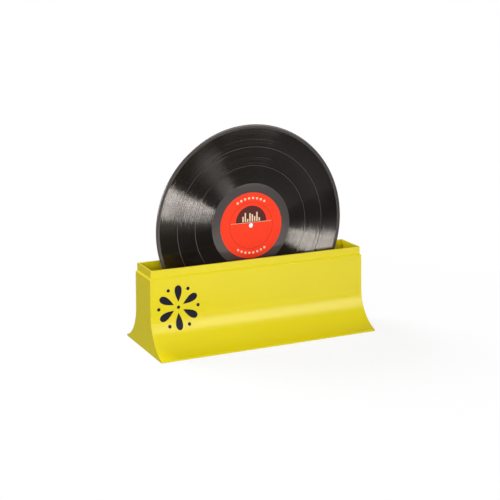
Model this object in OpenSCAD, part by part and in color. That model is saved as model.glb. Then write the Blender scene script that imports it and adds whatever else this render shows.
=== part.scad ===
// Hand-turned record cleaning machine.
// A moulded trough carries two grooved rollers in slots in its long walls. A record stands on
// the rollers' grooves between two upright velvet brushes, and is turned by hand in the bath.
// Frame: X along the trough, Y through it (front is -Y), Z up, origin under the middle of the base.

/* [Trough] */
// Length over the lid seat at the top
rim_l = 341; // [335:1:360]
// Width over the lid seat at the top
rim_w = 56; // [55:1:60]
// Height of the trough
trough_h = 123.5; // [120:0.5:130]
// Thickness of the wall round the lid seat
rim_wall = 2.6; // [2:0.2:3]
// Height of the seat that a lid drops over
seat_h = 10.5; // [8:0.5:14]
// Step from the seat out to the body, on every side
seat_step = 2; // [1:0.25:2.5]
// Slope of the shoulder below the seat, measured down the wall
shoulder_h = 2.6; // [2:0.2:4]
// Draft of each outer wall over its height
wall_draft = 1.4; // [0:0.2:2]
// Height of the trough's floor above the table
floor_z = 11; // [9:1:13]
// Thickness of the floor, the skirt and the end walls' feet
skin = 3; // [2.4:0.2:3.4]

/* [Flared foot] */
// Radius of the concave flare along the front and the back
flare_r = 57.5; // [54:0.5:60]
// Height of the upright lip at the foot's edge
lip_h = 2.7; // [2:0.1:4]
// Bays between the ribs under the trough
bays = 4; // [2:1:8]
// Thickness of the ribs under the trough
rib = 2; // [1.6:0.2:2.6]

/* [Roller slots] */
// Distance of the twelve-inch seats from the middle
seat12_x = 98; // [94:1:100]
// Distance of the ten-inch seats from the middle
seat10_x = 72; // [68:1:76]
// Distance of the seven-inch seats from the middle
seat7_x = 44; // [42:1:48]
// How far each slotted guide stands out from the wall
guide_out = 2.4; // [2:0.2:2.8]
// Thickness of the wall round each slot
guide_wall = 2.2; // [1.6:0.2:2.6]
// Top of the slotted guides
guide_top = 111; // [106:1:112]

/* [Rollers] */
// Radius of the two drums
drum_r = 15; // [13:0.5:16]
// Radius of the waist that carries the record's edge
waist_r = 9.5; // [8:0.5:11]
// Length of the waist between the two cones
waist_l = 4; // [3:0.5:6]
// Length of the straight part of each drum
land_l = 10; // [7:0.5:11]
// Length of the roller over its two drums
roller_l = 44; // [40:0.5:45]
// Thickness of the drums' walls
drum_wall = 1.6; // [1.2:0.1:2]
// Radius of the hub tube that turns in the slots
hub_r = 2.5; // [2:0.1:3]
// Radius of the bore in the hub tube's ends
hub_bore_r = 1.5; // [1:0.1:1.7]
// Thickness of the curved spokes
spoke_t = 1.1; // [0.8:0.1:1.6]
// Radius of the spokes' curve
spoke_curve_r = 12; // [9:0.5:16]
// Spokes in each end
spokes = 4; // [3:1:6]

/* [Record] */
// Radius of the record
record_r = 150.8; // [150:0.1:151]
// Height of the record's centre
record_z = 168; // [165:0.5:169]
// Radius of the paper labels
label_r = 50; // [49:0.5:50]
// Radius of the spindle hole
spindle_r = 3.62; // [3.6:0.01:3.7]
// Inner radius of the grooves
groove_in_r = 63.5; // [60:0.5:66]
// Inner radius of the raised rim
bead_in_r = 146.5; // [145:0.5:147]

/* [Brushes] */
// Length of the holders, upright in the trough
holder_l = 96; // [90:1:98]
// Width of the holders
holder_w = 22; // [20:0.5:24]
// Depth of the holders
holder_d = 8.5; // [7:0.5:9]
// Length of the velvet pads
pad_l = 93; // [88:1:94]
// Width of the velvet pads
pad_w = 19; // [17:0.5:20]
// Depth of the velvet pads, foam backing and pile together
pad_d = 9.4; // [8:0.2:9.6]
// Radius on the pads' long edges
pad_edge_r = 3; // [1:0.5:4]
// Gap from the middle plane of the record to the pile
pad_gap = 1.4; // [1.3:0.1:2]
// Top of the channels that hold the brushes
channel_top = 97; // [90:1:100]

/* [Hidden] */
$fn = 96;

yellow = [0.90, 0.84, 0.16];
black_plastic = [0.06, 0.06, 0.07];
velvet = [0.03, 0.03, 0.03];
vinyl = [0.08, 0.07, 0.07];
label_red = [0.95, 0.26, 0.14];

eps = 0.01;         // overlap where two cutters or two solids of one piece meet
over = 60;          // length by which a cutter runs past the moulding
fit = 0.06;         // running clearance of a hub in its slot
gap = 0.3;          // clearance of a holder in its channel
edge_gap = 0.2;     // gap between the record's edge and a roller's waist

rim_hl = rim_l / 2;
rim_hw = rim_w / 2;
in_hl = rim_hl - rim_wall;                       // half length inside
in_hw = rim_hw - rim_wall;                       // half width inside
shoulder_top = trough_h - seat_h;
shoulder_z = shoulder_top - shoulder_h;
body_hl = rim_hl + seat_step;                    // half length just below the shoulder
body_hw = rim_hw + seat_step;
foot_hl = body_hl + wall_draft;                  // half length at the table
waist_hw = body_hw + wall_draft * 0.4;           // half width where the flare starts
flare_z = flare_r + 0.5;                         // height where the flare starts
flare_y = waist_hw + flare_r;                    // the flare's axis
foot_hw = flare_y - sqrt(flare_r * flare_r - (flare_z - lip_h) * (flare_z - lip_h));
wall_out = in_hw + skin;                         // outside of the trough's wall in the skirt
bay_pitch = 2 * (foot_hl - skin) / bays;

// A record of radius r stands on two rollers at +-x with its centre at cz.
function seat_z(r, x, cz) = cz - sqrt(pow(r + waist_r + edge_gap, 2) - x * x);
seat12_z = seat_z(record_r, seat12_x, record_z);
seat10_z = seat_z(125, seat10_x, 160);           // a ten-inch record, its label above the bath
seat7_z = seat_z(87.3, seat7_x, 152);            // a seven-inch record
slot_r = hub_r + fit;
hub_end = in_hw - 0.4;                           // the hub's ends stop short of the wall
guide_r = slot_r + guide_wall;
drum_end = roller_l / 2;

fill_z = 103;                                    // fill line moulded inside the long walls
fill_l = 34;
fill_t = 0.7;

holder_y = pad_gap + pad_d;                      // front face of a holder
holder_back = holder_y + holder_d;
channel_wall = 2.4;
channel_lip = 2;                                 // depth of the lip in front of a holder
lip_reach = 1.1;                                 // how far that lip covers the holder
holder_hw = holder_w / 2;

// Outline of the trough in the X plane above the flare: seat, shoulder and drafted wall.
module upper_outline() {
    polygon([[-rim_hw, trough_h], [-rim_hw, shoulder_top], [-body_hw, shoulder_z],
             [-waist_hw, flare_z], [-waist_hw, 0], [waist_hw, 0], [waist_hw, flare_z],
             [body_hw, shoulder_z], [rim_hw, shoulder_top], [rim_hw, trough_h]]);
}

// Outline in the Y plane, which gives the end walls their own seat, shoulder and draft.
module side_outline() {
    polygon([[-rim_hl, trough_h], [-rim_hl, shoulder_top], [-body_hl, shoulder_z], [-foot_hl, 0],
             [foot_hl, 0], [body_hl, shoulder_z], [rim_hl, shoulder_top], [rim_hl, trough_h]]);
}

// Turns a drawing in Y and Z into a bar along X, centred on the middle.
module along_x(length) {
    translate([-length / 2, 0, 0]) rotate([90, 0, 90]) linear_extrude(length) children();
}

// The flare's cylinder on one side, or its inner face when grown by the skin.
module flare_cut(side, grow) {
    translate([-over - foot_hl, side * flare_y, flare_z]) rotate([0, 90, 0])
        cylinder(r = flare_r + grow, h = 2 * (over + foot_hl), $fn = 180);
}

// The solid bell before it is hollowed: upright walls that sweep out into the foot.
module bell() {
    intersection() {
        union() {
            along_x(2 * foot_hl) upper_outline();
            difference() {
                translate([-foot_hl, -foot_hw, 0]) cube([2 * foot_hl, 2 * foot_hw, flare_z]);
                flare_cut(1, 0);
                flare_cut(-1, 0);
            }
        }
        translate([0, foot_hw + over, 0]) rotate([90, 0, 0])
            linear_extrude(2 * (foot_hw + over)) side_outline();
    }
}

// The bath, with rounded upright corners.
module bath() {
    corner_r = 3;
    depth = trough_h - floor_z + eps;
    translate([0, 0, floor_z]) {
        translate([-in_hl + corner_r, -in_hw, 0]) cube([2 * (in_hl - corner_r), 2 * in_hw, depth]);
        translate([-in_hl, -in_hw + corner_r, 0]) cube([2 * in_hl, 2 * (in_hw - corner_r), depth]);
        for (sx = [-1, 1], sy = [-1, 1])
            translate([sx * (in_hl - corner_r), sy * (in_hw - corner_r), 0])
                cylinder(r = corner_r, h = depth);
    }
}

// One bay of the hollow underside: below the floor, and inside each skirt.
module bay(x0, length) {
    translate([x0, -in_hw, -eps]) cube([length, 2 * in_hw, floor_z - skin + eps]);
    for (side = [-1, 1])
        difference() {
            translate([x0, side > 0 ? wall_out : -foot_hw + skin, -eps])
                cube([length, foot_hw - skin - wall_out, flare_z]);
            flare_cut(side, skin);
        }
}

module underside() {
    for (i = [0 : bays - 1])
        bay(-foot_hl + skin + i * bay_pitch + (i > 0 ? rib / 2 : 0),
            bay_pitch - (i > 0 ? rib / 2 : 0) - (i < bays - 1 ? rib / 2 : 0));
}

// A guide on one long wall: a raised pad with an open slot and a round seat for a hub.
module roller_guide(x, z, side) {
    root = guide_out + 1;
    y0 = side > 0 ? in_hw - guide_out : -in_hw - 1;
    difference() {
        union() {
            translate([x - guide_r, y0, z]) cube([2 * guide_r, root, guide_top - z]);
            translate([x, y0, z]) rotate([-90, 0, 0]) cylinder(r = guide_r, h = root);
        }
        y1 = side > 0 ? y0 - 1 : -in_hw;
        translate([x - slot_r, y1, z]) cube([2 * slot_r, guide_out + 1, guide_top]);
        translate([x, y1, z]) rotate([-90, 0, 0]) cylinder(r = slot_r, h = guide_out + 1);
        translate([x, y1, guide_top]) rotate([-90, 45, 0])
            translate([-slot_r, -slot_r, 0]) cube([2 * slot_r, 2 * slot_r, guide_out + 1]);
    }
}

// The channel on one long wall that a brush holder slides down into.
module brush_channel(side) {
    out_x = holder_hw + gap + channel_wall;
    lip_y = holder_y - gap - channel_lip;
    for (sx = [-1, 1])
        scale([sx, side, 1]) {
            translate([holder_hw + gap, lip_y, floor_z - 1])
                cube([channel_wall, in_hw + 1 - lip_y, channel_top - floor_z + 1]);
            translate([holder_hw - lip_reach, lip_y, floor_z - 1])
                cube([out_x - holder_hw + lip_reach, channel_lip, channel_top - floor_z + 1]);
            translate([holder_hw - 4, holder_back + gap, floor_z - 1])
                cube([out_x - holder_hw + 4, in_hw + 1 - holder_back - gap, channel_top - floor_z + 1]);
        }
}

module basin() {
    color(yellow) {
        difference() {
            bell();
            bath();
            underside();
        }
        for (side = [-1, 1]) {
            for (sx = [-1, 1]) {
                roller_guide(sx * seat12_x, seat12_z, side);
                roller_guide(sx * seat10_x, seat10_z, side);
                roller_guide(sx * seat7_x, seat7_z, side);
                translate([sx * (in_hl - fill_l / 2 - 6) - fill_l / 2,
                           side > 0 ? in_hw - fill_t : -in_hw - 1, fill_z])
                    cube([fill_l, fill_t + 1, 1.2]);
            }
            brush_channel(side);
        }
    }
}

// Half of the roller's outer form, drawn as radius against distance from its middle.
module roller_outline() {
    polygon([[0, 0], [waist_r, 0], [waist_r, waist_l / 2], [drum_r, drum_end - land_l],
             [drum_r, drum_end - 0.6], [drum_r - 0.6, drum_end], [0, drum_end]]);
}

// The open cup in the end of a drum, down to the web that closes the waist.
module cup_outline() {
    cup_r = drum_r - drum_wall;
    floor_y = waist_l / 2 + 1;
    floor_r = waist_r - drum_wall;
    polygon([[0, floor_y], [floor_r, floor_y], [cup_r, drum_end - land_l + 0.8],
             [cup_r, drum_end + 1], [0, drum_end + 1]]);
}

// A curved spoke: a slice of a tube that leaves the hub and meets the drum's wall.
module spoke(a) {
    rotate([0, 0, a]) translate([spoke_curve_r, 0, waist_l / 2])
        rotate([0, 0, 112]) rotate_extrude(angle = 68)
            translate([spoke_curve_r - spoke_t / 2, 0]) square([spoke_t, drum_end - waist_l / 2 - 0.8]);
}

module half_roller() {
    difference() {
        rotate_extrude() roller_outline();
        rotate_extrude() cup_outline();
    }
    intersection() {
        union() for (i = [0 : spokes - 1]) spoke(i * 360 / spokes);
        rotate_extrude() square([drum_r - drum_wall / 2, drum_end]);
    }
    difference() {
        cylinder(r = hub_r, h = hub_end);
        translate([0, 0, hub_end - 8]) cylinder(r = hub_bore_r, h = 9);
    }
}

module roller(side) {
    color(black_plastic) translate([side * seat12_x, 0, seat12_z]) rotate([90, 0, 0]) {
        half_roller();
        mirror([0, 0, 1]) half_roller();
    }
}

// Everything of a brush is drawn for the rear one, and side -1 mirrors it to the front.
module brush_holder(side) {
    tray = 2;         // wall of the tray that the holder's back is moulded as
    tray_d = holder_d - tray;
    ribs = 3;
    tray_pitch = (holder_l - 2 * tray) / (ribs + 1);
    color(yellow) scale([1, side, 1]) translate([0, holder_y, floor_z])
        difference() {
            translate([-holder_hw, 0, 0]) cube([holder_w, holder_d, holder_l]);
            for (i = [0 : ribs])
                translate([-holder_hw + tray, tray, tray + i * tray_pitch + (i > 0 ? rib / 2 : 0)])
                    cube([holder_w - 2 * tray, tray_d + eps,
                          tray_pitch - (i > 0 ? rib / 2 : 0) - (i < ribs ? rib / 2 : 0)]);
            for (sx = [-1, 1], end = [0, holder_l])
                translate([sx * holder_hw, -eps, end]) rotate([0, 45, 0])
                    translate([-1.2, 0, -1.2]) cube([2.4, holder_d + 2 * eps, 2.4]);
        }
}

// Outline of a pad across its length: flat on the holder, round on the two edges of the pile.
module pad_outline() {
    hw = pad_w / 2;
    translate([-hw, pad_edge_r]) square([pad_w, pad_d - pad_edge_r]);
    translate([-hw + pad_edge_r, 0]) square([pad_w - 2 * pad_edge_r, pad_d]);
    for (sx = [-1, 1]) translate([sx * (hw - pad_edge_r), pad_edge_r]) circle(r = pad_edge_r);
}

module brush_pad(side) {
    color(velvet) scale([1, side, 1])
        translate([0, pad_gap, floor_z + (holder_l - pad_l) / 2]) linear_extrude(pad_l) pad_outline();
}

// Half thickness of the record against its radius: label land, grooves, raised round rim.
module record_outline() {
    land = 0.85;
    groove = 0.7;
    bead = 0.95;
    polygon([[spindle_r, 0], [spindle_r, land], [label_r + 0.6, land], [label_r + 1.4, groove + 0.1],
             [groove_in_r - 0.6, groove + 0.1], [groove_in_r, groove], [bead_in_r - 0.8, groove],
             [bead_in_r, bead], [record_r - 0.55, bead], [record_r - 0.15, bead - 0.35],
             [record_r, 0]]);
}

module record() {
    color(vinyl) translate([0, 0, record_z]) rotate([90, 0, 0]) {
        rotate_extrude($fn = 180) record_outline();
        mirror([0, 0, 1]) rotate_extrude($fn = 180) record_outline();
    }
}

module label(side) {
    color(label_red) translate([0, side * 0.85, record_z]) rotate([side > 0 ? -90 : 90, 0, 0])
        difference() {
            cylinder(r = label_r, h = 0.12, $fn = 120);
            translate([0, 0, -1]) cylinder(r = spindle_r, h = 2);
        }
}

basin();
roller(-1);  // roller_left
roller(1);  // roller_right
brush_holder(-1);  // brush_holder_front
brush_pad(-1);  // brush_pad_front
brush_holder(1);  // brush_holder_rear
brush_pad(1);  // brush_pad_rear
record();
label(-1);  // label_front
label(1);  // label_rear
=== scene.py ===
import math
import random

import bmesh
import bpy
from mathutils import Euler, Matrix, Vector
from mathutils.bvhtree import BVHTree


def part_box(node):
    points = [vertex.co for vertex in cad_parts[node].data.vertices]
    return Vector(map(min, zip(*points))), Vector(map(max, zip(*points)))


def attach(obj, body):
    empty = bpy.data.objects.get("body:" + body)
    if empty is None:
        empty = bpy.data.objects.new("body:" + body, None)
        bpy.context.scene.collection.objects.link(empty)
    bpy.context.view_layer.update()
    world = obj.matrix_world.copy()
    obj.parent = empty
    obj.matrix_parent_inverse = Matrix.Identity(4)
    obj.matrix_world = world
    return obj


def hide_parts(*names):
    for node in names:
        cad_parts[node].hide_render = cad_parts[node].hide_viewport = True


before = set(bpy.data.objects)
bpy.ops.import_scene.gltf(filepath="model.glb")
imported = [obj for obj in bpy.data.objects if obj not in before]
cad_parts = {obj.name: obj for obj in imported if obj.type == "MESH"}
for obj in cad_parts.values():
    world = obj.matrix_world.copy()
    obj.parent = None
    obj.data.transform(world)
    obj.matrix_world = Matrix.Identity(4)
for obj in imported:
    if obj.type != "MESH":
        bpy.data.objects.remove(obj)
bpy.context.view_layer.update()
MM = 0.001


# ---- Basin ----------------------------------------------------------------------------------
# The trough is one injection moulding in bright yellow plastic, with a seat for its lid, roller
# guides and brush channels inside, and walls that sweep out into the foot.
# Every outside edge leaves the mould slightly rounded, and the faces have a fine satin texture.
RIM_EDGE = 0.9 * MM
WELD = 0.002 * MM
FLAT = math.radians(0.3)
BROAD_FACES = 90
DRIFT_PER_METRE = 14
OFF_TABLE = 2 * MM
PAST_HOLDER = 4 * MM
END_WALL = 7 * MM


def joined_copy(node):
    """A CAD piece with its loose triangles joined again into whole faces."""
    shape = bmesh.new()
    shape.from_mesh(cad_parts[node].data)
    bmesh.ops.remove_doubles(shape, verts=shape.verts, dist=WELD)
    bmesh.ops.dissolve_limit(shape, angle_limit=FLAT, verts=shape.verts, edges=shape.edges)
    return shape


def sharp_edges(shape, belongs=lambda at: True, angle=28):
    """The edges that turn by more than the angle and whose middle passes the test."""
    found = []
    for edge in shape.edges:
        if len(edge.link_faces) == 2 and edge.calc_face_angle() > math.radians(angle):
            if belongs((edge.verts[0].co + edge.verts[1].co) / 2):
                found.append(edge)
    return found


def round_edges(shape, edges, radius, segments=3):
    """Bevels the edges to a round of the radius."""
    bmesh.ops.bevel(shape, geom=edges, offset=radius, offset_type="OFFSET", affect="EDGES",
                    segments=segments, profile=0.5, material=-1, clamp_overlap=True)


def place(shape, name, materials, body, smooth=40):
    """Turns a shape into an object that rides on a body, shaded smooth up to an angle."""
    for face in shape.faces:
        face.smooth = True
    for edge in shape.edges:
        edge.smooth = len(edge.link_faces) == 2 and edge.calc_face_angle(0) < math.radians(smooth)
    mesh = bpy.data.meshes.new(name)
    shape.to_mesh(mesh)
    shape.free()
    for material in materials:
        mesh.materials.append(material)
    piece = bpy.data.objects.new(name, mesh)
    bpy.context.scene.collection.objects.link(piece)
    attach(piece, body)
    return piece


def even_shading(piece):
    """Lets the broad faces lead the shading, so that narrow rounded edges catch the light."""
    modifier = piece.modifiers.new("even shading", "WEIGHTED_NORMAL")
    modifier.keep_sharp = True
    modifier.weight = BROAD_FACES


def add(tree, kind, inputs=None, **settings):
    """Adds a shader node; an input is a value, or the output that feeds it."""
    node = tree.nodes.new(kind)
    for key, value in settings.items():
        setattr(node, key, value)
    for key, value in (inputs or {}).items():
        if isinstance(value, bpy.types.NodeSocket):
            tree.links.new(value, node.inputs[key])
        else:
            node.inputs[key].default_value = value
    return node


def maths(tree, operation, a, b=0.0, c=0.0):
    """The result of a maths node; a value can be a number or an output, as in all of these."""
    return add(tree, "ShaderNodeMath", {0: a, 1: b, 2: c}, operation=operation).outputs[0]


def both(tree, a, b):
    """The product of two values, which is 1 only where two masks are both 1."""
    return maths(tree, "MULTIPLY", a, b)


def mix(tree, factor, a, b):
    """The colour that lies this far from a to b."""
    return add(tree, "ShaderNodeMix", {0: factor, 6: a, 7: b}, data_type="RGBA").outputs[2]


def new_material(name, **values):
    """A material with its Principled shader, whose plain values are set on its own sockets."""
    made = bpy.data.materials.new(name)
    made.use_nodes = True
    shader = made.node_tree.nodes["Principled BSDF"]
    for key, value in values.items():
        shader.inputs[key.replace("_", " ")].default_value = value
    return made, made.node_tree, shader


def new_group(name, inputs, outputs):
    """A shader node group with named number inputs, and outputs of the given kinds."""
    group = bpy.data.node_groups.new(name, "ShaderNodeTree")
    for label, default in inputs.items():
        socket = group.interface.new_socket(label, in_out="INPUT", socket_type="NodeSocketFloat")
        socket.default_value = default
    for label, kind in outputs.items():
        group.interface.new_socket(label, in_out="OUTPUT", socket_type="NodeSocket" + kind)
    return group, group.nodes.new("NodeGroupInput"), group.nodes.new("NodeGroupOutput")


def moulded_surface():
    """Fine mould texture, and slow changes of gloss, as on a satin plastic moulding."""
    group, inside, out = new_group("moulded surface",
                                   {"Grain per metre": 900, "Grain depth": 0.02 * MM,
                                    "Gloss": 0.36, "Gloss change": 0.05},
                                   {"Normal": "Vector", "Roughness": "Float", "Tone": "Float"})
    here = add(group, "ShaderNodeTexCoord").outputs["Object"]
    grain = add(group, "ShaderNodeTexNoise",
                {"Vector": here, "Scale": inside.outputs["Grain per metre"], "Detail": 2})
    bump = add(group, "ShaderNodeBump", {"Strength": 1.0, "Distance": inside.outputs["Grain depth"],
                                         "Height": grain.outputs["Fac"]})
    slow = add(group, "ShaderNodeTexNoise", {"Vector": here, "Scale": DRIFT_PER_METRE,
                                             "Detail": 3})
    centred = maths(group, "SUBTRACT", slow.outputs["Fac"], 0.5)
    rough = maths(group, "MULTIPLY_ADD", centred, inside.outputs["Gloss change"],
                  inside.outputs["Gloss"])
    group.links.new(bump.outputs["Normal"], out.inputs["Normal"])
    group.links.new(rough, out.inputs["Roughness"])
    group.links.new(slow.outputs["Fac"], out.inputs["Tone"])
    return group


MOULDED = moulded_surface()


def moulded_plastic(name, colour, deeper, gloss, grain_depth, **values):
    """A moulded plastic: one colour with a slightly deeper tone drifting through it."""
    made, tree, shader = new_material(name, **values)
    surface = add(tree, "ShaderNodeGroup", node_tree=MOULDED)
    surface.inputs["Gloss"].default_value = gloss
    surface.inputs["Grain depth"].default_value = grain_depth
    tree.links.new(mix(tree, surface.outputs["Tone"], colour, deeper), shader.inputs["Base Color"])
    tree.links.new(surface.outputs["Roughness"], shader.inputs["Roughness"])
    tree.links.new(surface.outputs["Normal"], shader.inputs["Normal"])
    return made


yellow_plastic = moulded_plastic("yellow plastic", (0.79, 0.665, 0.006, 1), (0.76, 0.63, 0.004, 1),
                                 gloss=0.24, grain_depth=0.008 * MM, IOR=1.65)

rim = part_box("basin")[1]
holder_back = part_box("brush_holder_rear")[1]
shape = joined_copy("basin")
wall = BVHTree.FromBMesh(shape)


def outside(at):
    """Whether a point lies on the outside of the trough or on its rim, off the table."""
    outer = abs(at.y) > holder_back.y + PAST_HOLDER or abs(at.x) > rim.x - END_WALL
    return outer and at.z > OFF_TABLE


round_edges(shape, sharp_edges(shape, outside), RIM_EDGE)
basin = place(shape, "basin_moulding", [yellow_plastic], "basin")
even_shading(basin)
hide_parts("basin")


# ---- Print on the front ---------------------------------------------------------------------
# A flower of six petals and six dots in dark ink, printed on the front near the left end. It
# follows the moulding out on to the flare, and the ink stands a little proud of the plastic.
INK = 0.08 * MM
FLOWER_X = -130 * MM
FLOWER_Z = 66 * MM
FLOWER_R = 33 * MM
PETALS = 6
PETAL_ROOT = 8 * MM
PETAL_WIDE = 7.4 * MM
PETAL_POINT = 0.6
DOT_R = 2.6 * MM
SLICE = 1.5 * MM
SPECKLES_PER_METRE = 600
IN_FRONT = -1


def petal(flower, turn):
    """A drop with its point towards the middle of the flower."""
    made = bmesh.ops.create_circle(flower, cap_ends=True, segments=40, radius=1)
    length = FLOWER_R - PETAL_ROOT
    for vert in made["verts"]:
        along = (1 + vert.co.x) / 2
        across = vert.co.y * PETAL_WIDE * along ** PETAL_POINT
        vert.co = (PETAL_ROOT + along * length, across, 0)
    bmesh.ops.rotate(flower, verts=made["verts"], matrix=Matrix.Rotation(turn, 3, "Z"))


def dot(flower, turn, out):
    """A round dot at a distance from the middle of the flower."""
    made = bmesh.ops.create_circle(flower, cap_ends=True, segments=20, radius=DOT_R)
    at = Vector((math.cos(turn), math.sin(turn), 0)) * out
    bmesh.ops.translate(flower, verts=made["verts"], vec=at)


ink, tree, shader = new_material("dark ink", Roughness=0.4, Specular_IOR_Level=0.2)
here = add(tree, "ShaderNodeTexCoord").outputs["Object"]
speckle = add(tree, "ShaderNodeTexNoise", {"Vector": here, "Scale": SPECKLES_PER_METRE,
                                           "Detail": 2})
dark = mix(tree, speckle.outputs["Fac"], (0.008, 0.007, 0.018, 1), (0.016, 0.014, 0.028, 1))
tree.links.new(dark, shader.inputs["Base Color"])

flower = bmesh.new()
for i in range(PETALS):
    petal(flower, math.radians(90) + i * 2 * math.pi / PETALS)
    dot(flower, math.radians(60) + i * 2 * math.pi / PETALS, FLOWER_R - DOT_R)
dot(flower, 0, 0)
bmesh.ops.rotate(flower, verts=flower.verts, matrix=Matrix.Rotation(math.radians(90), 3, "X"))
bmesh.ops.translate(flower, verts=flower.verts, vec=(FLOWER_X, 0, FLOWER_Z))
level = FLOWER_Z - FLOWER_R + SLICE
while level < FLOWER_Z + FLOWER_R:
    bmesh.ops.bisect_plane(flower, geom=flower.verts[:] + flower.edges[:] + flower.faces[:],
                           plane_co=(0, 0, level), plane_no=(0, 0, 1))
    level += SLICE
for vert in flower.verts:
    on_wall = wall.ray_cast(Vector((vert.co.x, IN_FRONT, vert.co.z)), Vector((0, 1, 0)))[0]
    vert.co = on_wall + Vector((0, INK, 0))
raised = bmesh.ops.extrude_face_region(flower, geom=flower.faces[:])["geom"]
bmesh.ops.translate(flower, vec=(0, -2 * INK, 0),
                    verts=[g for g in raised if isinstance(g, bmesh.types.BMVert)])
bmesh.ops.recalc_face_normals(flower, faces=flower.faces)
place(flower, "front_print", [ink], "basin")


# ---- Rollers --------------------------------------------------------------------------------
# Two black plastic mouldings, each two drums with a waist between them that takes the record's
# edge. Curved spokes brace the open ends round a hub tube, which turns in the basin's slots.
DRUM_EDGE = 0.25 * MM
black_plastic = moulded_plastic("black plastic", (0.018, 0.018, 0.02, 1), (0.012, 0.012, 0.013, 1),
                                gloss=0.3, grain_depth=0.012 * MM, IOR=1.55)
for side in ("left", "right"):
    shape = joined_copy("roller_" + side)
    round_edges(shape, sharp_edges(shape, angle=50), DRUM_EDGE, segments=2)
    roller = place(shape, f"roller_moulding_{side}", [black_plastic], "roller_" + side)
    even_shading(roller)
    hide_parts("roller_" + side)


# ---- Brush holders --------------------------------------------------------------------------
# Each brush is carried by a yellow plastic bar, moulded as a shallow tray with ribs across its
# back. It drops into its channel in the basin with the velvet facing the record.
BAR_EDGE = 0.3 * MM
for side in ("front", "rear"):
    shape = joined_copy("brush_holder_" + side)
    round_edges(shape, sharp_edges(shape), BAR_EDGE, segments=2)
    holder = place(shape, f"brush_bar_{side}", [yellow_plastic], "brush_" + side)
    even_shading(holder)
    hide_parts("brush_holder_" + side)


# ---- Velvet pads ----------------------------------------------------------------------------
# Black velvet wrapped round a foam strip and glued to the bar. The pile is short and dense, and
# it leans down the brush, the way that the turning record combs it.
PILE = 1.1 * MM
HAIR = PILE * 1.1
HAIR_R = 0.16 * MM
HAIRS = 2.2e6
TUFT = 100
LEAN = Vector((0, 0, -0.35))
STRAY = 0.25
NAP_PER_METRE = 1600
NAP_DEPTH = 0.2 * MM
BRUSHED_PER_METRE = 120
TOWARDS_BAR = 0.9
velvet, tree, shader = new_material("black velvet", Roughness=0.9, Sheen_Weight=0.5,
                                    Sheen_Roughness=0.35, Specular_IOR_Level=0.15)
here = add(tree, "ShaderNodeTexCoord").outputs["Object"]
nap = add(tree, "ShaderNodeTexNoise", {"Vector": here, "Scale": NAP_PER_METRE, "Detail": 3})
brushed = add(tree, "ShaderNodeTexNoise", {"Vector": here, "Scale": BRUSHED_PER_METRE,
                                           "Detail": 2})
dark = mix(tree, brushed.outputs["Fac"], (0.002, 0.002, 0.002, 1), (0.012, 0.011, 0.011, 1))
tree.links.new(dark, shader.inputs["Base Color"])
bump = add(tree, "ShaderNodeBump", {"Strength": 1.0, "Distance": NAP_DEPTH,
                                    "Height": nap.outputs["Fac"]})
tree.links.new(bump.outputs["Normal"], shader.inputs["Normal"])


def hair_places(skin, dice):
    """Where each hair stands on a skin of triangles; all lean down, and each strays a little."""
    places = []
    for face in skin.faces:
        a, b, c = (vert.co for vert in face.verts)
        for _ in range(int(face.calc_area() * HAIRS + dice.random())):
            s, t = sorted((dice.random(), dice.random()))
            root = a * s + b * (t - s) + c * (1 - t)
            stray = Vector((dice.uniform(-1, 1), dice.uniform(-1, 1), dice.uniform(-1, 1)))
            way = (face.normal + LEAN + STRAY * stray).normalized()
            turn = way.to_track_quat("Z", "Y").to_matrix().to_4x4()
            places.append(Matrix.Translation(root + way * PILE / 2) @ turn)
    return places


def pile_on(skin, dice):
    """Short tapered hairs all over a skin, made a tuft at a time."""
    places = hair_places(skin, dice)
    swatch = bpy.data.meshes.new("tuft")
    hairs = bmesh.new()
    for start in range(0, len(places), TUFT):
        tuft = bmesh.new()
        for stand in places[start:start + TUFT]:
            bmesh.ops.create_cone(tuft, cap_ends=True, segments=3, radius1=HAIR_R, radius2=0,
                                  depth=HAIR, matrix=stand)
        tuft.to_mesh(swatch)
        tuft.free()
        hairs.from_mesh(swatch)
    bpy.data.meshes.remove(swatch)
    return hairs


for side, back in (("front", -1), ("rear", 1)):
    low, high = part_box("brush_pad_" + side)
    glued = low.y if back < 0 else high.y
    middle = (low + high) / 2
    anchor = Vector((middle.x, glued, middle.z))
    size = high - low
    shape = joined_copy("brush_pad_" + side)
    inset = Matrix.Diagonal(((size.x - 2 * PILE) / size.x, (size.y - PILE) / size.y,
                             (size.z - 2 * PILE) / size.z))
    bmesh.ops.translate(shape, verts=shape.verts, vec=-anchor)
    bmesh.ops.transform(shape, verts=shape.verts, matrix=inset)
    bmesh.ops.translate(shape, verts=shape.verts, vec=anchor)
    skin = shape.copy()
    bmesh.ops.triangulate(skin, faces=skin.faces)
    on_bar = [f for f in skin.faces if f.normal.y * back > TOWARDS_BAR]
    bmesh.ops.delete(skin, geom=on_bar, context="FACES")
    hairs = pile_on(skin, random.Random(side))
    skin.free()
    pad = place(shape, f"velvet_pad_{side}", [velvet], "brush_" + side)
    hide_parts("brush_pad_" + side)
    place(hairs, f"velvet_pile_{side}", [velvet], "brush_" + side)


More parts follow.
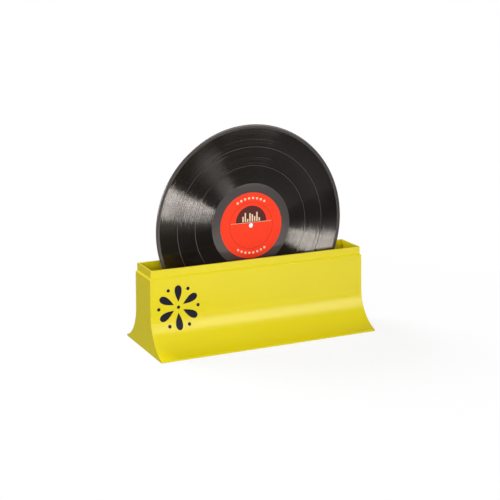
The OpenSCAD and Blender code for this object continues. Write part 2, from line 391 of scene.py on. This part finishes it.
# ---- Record ---------------------------------------------------------------------------------
# A twelve-inch pressing in black vinyl: a raised rim, three bands of grooves with plain gaps
# between them, a smooth run-out, and a raised hub under the paper labels. Each groove has two walls
# that lean along the radius, more in loud passages, so a lamp shows as a streak across them.
CENTRE = Vector((0, 0, 168 * MM))
RECORD_R = 150.8 * MM
LABEL_R = 50 * MM
LABEL_LIP = 0.5 * MM
HUB_EDGE = 1.2 * MM
SPINDLE_R = 3.62 * MM
HOLE_EDGE = 0.3 * MM
RUN_OUT_R = 63.5 * MM
RUN_OUT_EDGE = 0.5 * MM
GAPS_R = (90 * MM, 117.8 * MM)
GAP = 0.8 * MM
LEAD_IN_R = 145.4 * MM
BEAD_RISE = 1.1 * MM
BEAD_ROUND = ((1.2 * MM, 0), (0.6 * MM, 0.15 * MM), (0.15 * MM, 0.45 * MM))
HUB_FACE = 0.85 * MM
RUN_OUT_FACE = 0.8 * MM
GROOVE_FACE = 0.7 * MM
BEAD_FACE = 0.95 * MM
STEPS = 360
MERGE = 0.001 * MM
VINYL_TINT = (1.0, 0.92, 0.86, 1)
GROOVE_PITCH = 0.5 * MM
GROOVE_SLOPE = 0.49
GROOVE_CHANGE = 0.55
GROOVE_SWAY = 0.25
LOUD_PER_METRE = 1300
SWAY_PER_METRE = 800
QUIET_ROUGHNESS = 0.105
LOUD_ROUGHNESS = 0.07


def record_profile():
    """Radius and half thickness from the spindle hole out to the rim."""
    points = [(SPINDLE_R, HUB_FACE - HOLE_EDGE), (SPINDLE_R + HOLE_EDGE, HUB_FACE),
              (LABEL_R + LABEL_LIP, HUB_FACE), (LABEL_R + HUB_EDGE, RUN_OUT_FACE),
              (RUN_OUT_R - RUN_OUT_EDGE, RUN_OUT_FACE), (RUN_OUT_R, GROOVE_FACE)]
    for gap in GAPS_R:
        points += [(gap - GAP / 2, GROOVE_FACE), (gap + GAP / 2, GROOVE_FACE)]
    points += [(LEAD_IN_R, GROOVE_FACE), (LEAD_IN_R + BEAD_RISE, BEAD_FACE)]
    points += [(RECORD_R - inward, BEAD_FACE - down) for inward, down in BEAD_ROUND]
    return points + [(RECORD_R, 0)]


def spun(profile, steps):
    """Turns a profile of (radius, distance from the middle plane) about the record's axis."""
    shape = bmesh.new()
    verts = [shape.verts.new(CENTRE + Vector((r, -y, 0))) for r, y in profile]
    edges = [shape.edges.new(pair) for pair in zip(verts, verts[1:])]
    bmesh.ops.spin(shape, geom=verts + edges, cent=CENTRE, axis=(0, 1, 0),
                   angle=2 * math.pi, steps=steps, use_merge=True)
    bmesh.ops.remove_doubles(shape, verts=shape.verts, dist=MERGE)
    bmesh.ops.recalc_face_normals(shape, faces=shape.faces)
    return shape


def grooved(face):
    """Whether a face of the record lies in one of its bands of grooves."""
    out = (face.calc_center_median() - CENTRE).xz.length
    in_gap = any(abs(out - gap) < GAP / 2 for gap in GAPS_R)
    return RUN_OUT_R < out < LEAD_IN_R and not in_gap


def radius_from_centre(tree):
    """The distance from the record's axis, and the X and Z that it is made of."""
    here = add(tree, "ShaderNodeTexCoord").outputs["Object"]
    centred = add(tree, "ShaderNodeVectorMath", {0: here, 1: -CENTRE}, operation="ADD").outputs[0]
    apart = add(tree, "ShaderNodeSeparateXYZ", {0: centred}).outputs
    squares = maths(tree, "MULTIPLY_ADD", apart["X"], apart["X"],
                    both(tree, apart["Z"], apart["Z"]))
    return maths(tree, "SQRT", squares), apart


def ring_noise(tree, radius, per_metre, detail):
    """A noise that changes from groove to groove and is the same all the way round each."""
    along = both(tree, radius, per_metre)
    return add(tree, "ShaderNodeTexNoise", {"W": along, "Scale": 1.0, "Detail": detail},
               noise_dimensions="1D").outputs["Fac"]


groove_vinyl, tree, shader = new_material("grooved vinyl", Anisotropic=0.85,
                                          Anisotropic_Rotation=0.25, IOR=1.7,
                                          Specular_Tint=VINYL_TINT)
tree.links.new(add(tree, "ShaderNodeTangent", direction_type="RADIAL", axis="Y").outputs[0],
               shader.inputs["Tangent"])
radius, apart = radius_from_centre(tree)
loud = ring_noise(tree, radius, LOUD_PER_METRE, 3)
tree.links.new(mix(tree, loud, (0.003, 0.0025, 0.002, 1), (0.008, 0.006, 0.005, 1)),
               shader.inputs["Base Color"])
tree.links.new(maths(tree, "MULTIPLY_ADD", loud, LOUD_ROUGHNESS, QUIET_ROUGHNESS),
               shader.inputs["Roughness"])
across = maths(tree, "FRACT", maths(tree, "DIVIDE", radius, GROOVE_PITCH))
leaning = maths(tree, "SIGN", maths(tree, "SUBTRACT", across, 0.5))
slope = both(tree, leaning, maths(tree, "MULTIPLY_ADD", loud, GROOVE_CHANGE,
                                  GROOVE_SLOPE - GROOVE_CHANGE / 2))
flat = add(tree, "ShaderNodeCombineXYZ", {"X": apart["X"], "Z": apart["Z"]}).outputs[0]
outward = add(tree, "ShaderNodeVectorMath", {0: flat}, operation="NORMALIZE").outputs[0]
sway = maths(tree, "MULTIPLY_ADD", ring_noise(tree, radius, SWAY_PER_METRE, 2), GROOVE_SWAY,
             -GROOVE_SWAY / 2)
outward = add(tree, "ShaderNodeVectorRotate", {"Vector": outward, "Angle": sway},
              rotation_type="Y_AXIS").outputs[0]
tilt = add(tree, "ShaderNodeVectorMath", {0: outward, "Scale": slope}, operation="SCALE")
tilt = add(tree, "ShaderNodeVectorTransform", {0: tilt.outputs[0]}, vector_type="VECTOR",
           convert_from="OBJECT", convert_to="WORLD")
face_on = add(tree, "ShaderNodeNewGeometry").outputs["Normal"]
tilted = add(tree, "ShaderNodeVectorMath", {0: face_on, 1: tilt.outputs[0]}, operation="ADD")
walls = add(tree, "ShaderNodeVectorMath", {0: tilted.outputs[0]}, operation="NORMALIZE")
tree.links.new(walls.outputs[0], shader.inputs["Normal"])

# The smooth vinyl of the run-out, the gaps, the rim and the hub is dark grey, much paler than the
# grooves. The colour is partly the vinyl's own black and partly painted sheen for the light that
# its smooth face mirrors.
plain_vinyl_painted_sheen = moulded_plastic("plain vinyl with painted sheen", (0.076, 0.067, 0.064, 1), (0.066, 0.058, 0.056, 1),
                              gloss=0.16, grain_depth=0.004 * MM, IOR=1.7,
                              Specular_Tint=VINYL_TINT)

profile = record_profile()
shape = spun([(r, -y) for r, y in profile] + [(r, y) for r, y in reversed(profile[:-1])]
             + [(profile[0][0], -profile[0][1])], STEPS)
for face in shape.faces:
    face.material_index = 0 if grooved(face) else 1
record = place(shape, "record_pressing", [groove_vinyl, plain_vinyl_painted_sheen], "record", smooth=60)
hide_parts("record")


# ---- Labels ---------------------------------------------------------------------------------
# A disc of red printed paper is pressed into the middle of each face with the vinyl. The print
# is a plain pattern: bars on a dark half-moon that stands on a rule, a ring, and rows of dots.
RING_R = 35 * MM
RING = 0.5 * MM
RULE_X = 33 * MM
RULE_Z = 5 * MM
RULE = 0.5 * MM
MOON_R = 25 * MM
BAR_PITCH = 3.8 * MM
BAR_SIDES = (0.2, 0.8)
BARS_X = 4 * BAR_PITCH
BAR_LOW = 4 * MM
BAR_CHANGE = 11 * MM
WAVE_STEP = 1.9
WAVE_START = 0.8
DOTS_R = 41.5 * MM
DOT_STEP = math.radians(9)
HALF_ROW = 4 * DOT_STEP
PAPER_DOT = 1.8 * MM
FIBRES_PER_METRE = 500
FIBRE_DEPTH = 0.03 * MM
label_paper, tree, shader = new_material("label paper", Roughness=0.6, Specular_IOR_Level=0.2)
radius, apart = radius_from_centre(tree)
x, z = apart["X"], apart["Z"]


def within(tree, value, low, high):
    """1 where a value lies between two others."""
    return maths(tree, "COMPARE", value, (low + high) / 2, (high - low) / 2)


column = maths(tree, "DIVIDE", x, BAR_PITCH)
number = maths(tree, "FLOOR", column)
wave = maths(tree, "SINE", maths(tree, "MULTIPLY_ADD", number, WAVE_STEP, WAVE_START))
over_rule = maths(tree, "SUBTRACT", z, RULE_Z)
bar_top = maths(tree, "MULTIPLY_ADD", maths(tree, "ABSOLUTE", wave), BAR_CHANGE, BAR_LOW)
upright = both(tree, maths(tree, "LESS_THAN", over_rule, bar_top),
               maths(tree, "GREATER_THAN", over_rule, 2 * RULE))
bar = both(tree, within(tree, maths(tree, "FRACT", column), *BAR_SIDES), upright)
bars = both(tree, bar, within(tree, x, -BARS_X, BARS_X))
from_rule = add(tree, "ShaderNodeCombineXYZ", {"X": x, "Y": over_rule}).outputs[0]
reach = add(tree, "ShaderNodeVectorMath", {0: from_rule}, operation="LENGTH").outputs["Value"]
moon = both(tree, maths(tree, "LESS_THAN", reach, MOON_R),
            maths(tree, "GREATER_THAN", over_rule, 0))
rule = both(tree, within(tree, x, -RULE_X, RULE_X), within(tree, over_rule, -RULE, 0))
marks = maths(tree, "MAXIMUM", bars, rule)
ring = within(tree, radius, RING_R - RING / 2, RING_R + RING / 2)
angle = maths(tree, "ARCTAN2", x, z)
dot_share = maths(tree, "FRACT", maths(tree, "DIVIDE", angle, DOT_STEP))
turned = maths(tree, "SUBTRACT", dot_share, 0.5)
aside = add(tree, "ShaderNodeCombineXYZ", {"X": maths(tree, "SUBTRACT", radius, DOTS_R),
                                           "Y": both(tree, turned, DOT_STEP * DOTS_R)})
off = add(tree, "ShaderNodeVectorMath", {0: aside.outputs[0]}, operation="LENGTH")
top_row = within(tree, angle, -HALF_ROW, HALF_ROW)
low_row = maths(tree, "GREATER_THAN", maths(tree, "ABSOLUTE", angle), math.pi - HALF_ROW)
dots = both(tree, maths(tree, "LESS_THAN", off.outputs["Value"], PAPER_DOT),
            maths(tree, "MAXIMUM", top_row, low_row))
here = add(tree, "ShaderNodeTexCoord").outputs["Object"]
fibre = add(tree, "ShaderNodeTexNoise", {"Vector": here, "Scale": FIBRES_PER_METRE,
                                         "Detail": 4}).outputs["Fac"]
colour = mix(tree, fibre, (0.94, 0.040, 0.012, 1), (1.0, 0.060, 0.020, 1))
colour = mix(tree, ring, colour, (0.50, 0.02, 0.01, 1))
colour = mix(tree, moon, colour, (0.10, 0.022, 0.018, 1))
colour = mix(tree, maths(tree, "MAXIMUM", marks, dots), colour, (0.86, 0.62, 0.42, 1))
tree.links.new(colour, shader.inputs["Base Color"])
paper = add(tree, "ShaderNodeBump", {"Strength": 0.6, "Distance": FIBRE_DEPTH, "Height": fibre})
tree.links.new(paper.outputs["Normal"], shader.inputs["Normal"])
for side in ("front", "rear"):
    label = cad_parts["label_" + side]
    label.data.materials.clear()
    label.data.materials.append(label_paper)


# ---- Studio ---------------------------------------------------------------------------------
# A white sweep, seen from the photograph's place. The low, mid and sill boxes give the record its
# bright streak, the high and top boxes the faint one, the strip lights the flare, and the rear box
# the far side. Gloss shows a dark floor, a pale card by the machine and a pale apron by the boxes.
AZIMUTH = math.radians(-24.88)
ELEVATION = math.radians(13.73)
ROLL = math.radians(-0.33)
CAMERA_AT = Vector((-0.7524, -1.6186, 0.5664))
LENS = 88.5
CLIP = 0.05
WHITE = (1, 1, 1, 1)
SKY = 0.1
SKY_MIRRORED = 0.08
FLOOR_R = 6
FLOOR_Z = -0.3 * MM
FLOOR_LIT = (0.55, 0.55, 0.55, 1)
FLOOR_SEEN = (0.96, 0.96, 0.96, 1)
FLOOR_MIRRORED = (0.05, 0.05, 0.05, 1)
SHADOW_R = 0.2
SHADOW_END = 0.6
SHADOW_WHITE = 0.86
CARD = ((0.22, -0.45, 0), 0.2, 0.32, 0.8)
APRON = ((-0.65, -1.5, 0), 0.4, 0.9, 1)


def area_light(name, at, towards, size, power, roll=0):
    """A soft box that faces a point, turned about its own axis by the roll in degrees."""
    lamp = bpy.data.lights.new(name, "AREA")
    lamp.shape = "RECTANGLE"
    lamp.size, lamp.size_y = size
    lamp.energy = power
    holder = bpy.data.objects.new(name, lamp)
    bpy.context.scene.collection.objects.link(holder)
    facing = (Vector(at) - Vector(towards)).to_track_quat("Z", "Y").to_matrix().to_4x4()
    holder.matrix_world = Matrix.Translation(at) @ facing
    holder.matrix_world @= Matrix.Rotation(math.radians(roll), 4, "Z")
    holder.visible_camera = False


def seen_white(tree, direct, mirrored):
    """How far the camera sees plain white here, and how far gloss, metal or glass shows it."""
    path = add(tree, "ShaderNodeLightPath").outputs
    sent_on = maths(tree, "MAXIMUM", path["Is Glossy Ray"], path["Is Transmission Ray"])
    return maths(tree, "MAXIMUM", both(tree, path["Is Camera Ray"], direct),
                 both(tree, sent_on, mirrored))


area_light("low box", (-0.76, -1.72, 0.445), (0, 0, 0.16), (0.66, 0.22), 7.6, roll=-18)
area_light("mid box", (-0.76, -1.72, 0.23), (0, 0, 0.16), (0.66, 0.22), 6.2, roll=-15)
area_light("sill box", (-0.76, -1.72, 0.07), (0, 0, 0.1), (0.7, 0.13), 3.2, roll=-4)
area_light("high box", (-0.55, -1.3, 1.42), (0, 0, 0.1), (1.0, 0.7), 3.8)
area_light("top box", (-0.42, -0.85, 1.6), (0, 0, 0.1), (1.0, 0.7), 9)
area_light("strip", (0.8, -1.6, 0.66), (0, 0, 0.05), (0.85, 0.84), 5.4)
area_light("rear box", (-0.6, 1.1, 1.45), (0, 0, 0.1), (0.9, 0.7), 30)

world = bpy.data.worlds.new("studio")
world.use_nodes = True
tree = world.node_tree
seen = seen_white(tree, 1.0, SKY_MIRRORED)
sky = tree.nodes["Background"]
sky.inputs["Color"].default_value = WHITE
tree.links.new(maths(tree, "MULTIPLY_ADD", seen, 1 - SKY, SKY), sky.inputs["Strength"])
bpy.context.scene.world = world

sweep = bmesh.new()
bmesh.ops.create_circle(sweep, cap_ends=True, radius=FLOOR_R, segments=48,
                        matrix=Matrix.Translation((0, 0, FLOOR_Z)))
mesh = bpy.data.meshes.new("floor")
sweep.to_mesh(mesh)
sweep.free()
floor = bpy.data.objects.new("floor", mesh)
bpy.context.scene.collection.objects.link(floor)
white_sweep, tree, shader = new_material("white sweep", Roughness=0.8)
path = add(tree, "ShaderNodeLightPath").outputs
tone = mix(tree, path["Is Camera Ray"], FLOOR_LIT, FLOOR_SEEN)
tone = mix(tree, path["Is Glossy Ray"], tone, FLOOR_MIRRORED)
tree.links.new(tone, shader.inputs["Base Color"])
here = add(tree, "ShaderNodeTexCoord").outputs["Object"]


def patch(tree, here, centre, inner, outer, white, beyond=0.0):
    """How white a round patch of the floor is, which changes to beyond between two radii."""
    away = add(tree, "ShaderNodeVectorMath", {0: here, 1: centre}, operation="DISTANCE")
    return add(tree, "ShaderNodeMapRange", {"Value": away.outputs["Value"], "From Min": inner,
                                            "From Max": outer, "To Min": white,
                                            "To Max": beyond}).outputs[0]


shaded = patch(tree, here, (0, 0, 0), SHADOW_R, SHADOW_END, SHADOW_WHITE, beyond=1.0)
pale = maths(tree, "MAXIMUM", patch(tree, here, *CARD), patch(tree, here, *APRON))
glow = add(tree, "ShaderNodeEmission", {"Color": WHITE, "Strength": 1.0})
blend = add(tree, "ShaderNodeMixShader", {0: seen_white(tree, shaded, pale),
                                          1: shader.outputs[0], 2: glow.outputs[0]})
tree.links.new(blend.outputs[0], tree.nodes["Material Output"].inputs["Surface"])
mesh.materials.append(white_sweep)

lens = bpy.data.cameras.new("camera")
lens.lens = LENS
lens.clip_start = CLIP
camera = bpy.data.objects.new("camera", lens)
bpy.context.scene.collection.objects.link(camera)
turn = Euler((math.pi / 2 - ELEVATION, 0, AZIMUTH)).to_matrix() @ Matrix.Rotation(ROLL, 3, "Z")
camera.matrix_world = Matrix.Translation(CAMERA_AT) @ turn.to_4x4()
bpy.context.scene.camera = camera
bpy.context.scene.view_settings.view_transform = "Standard"
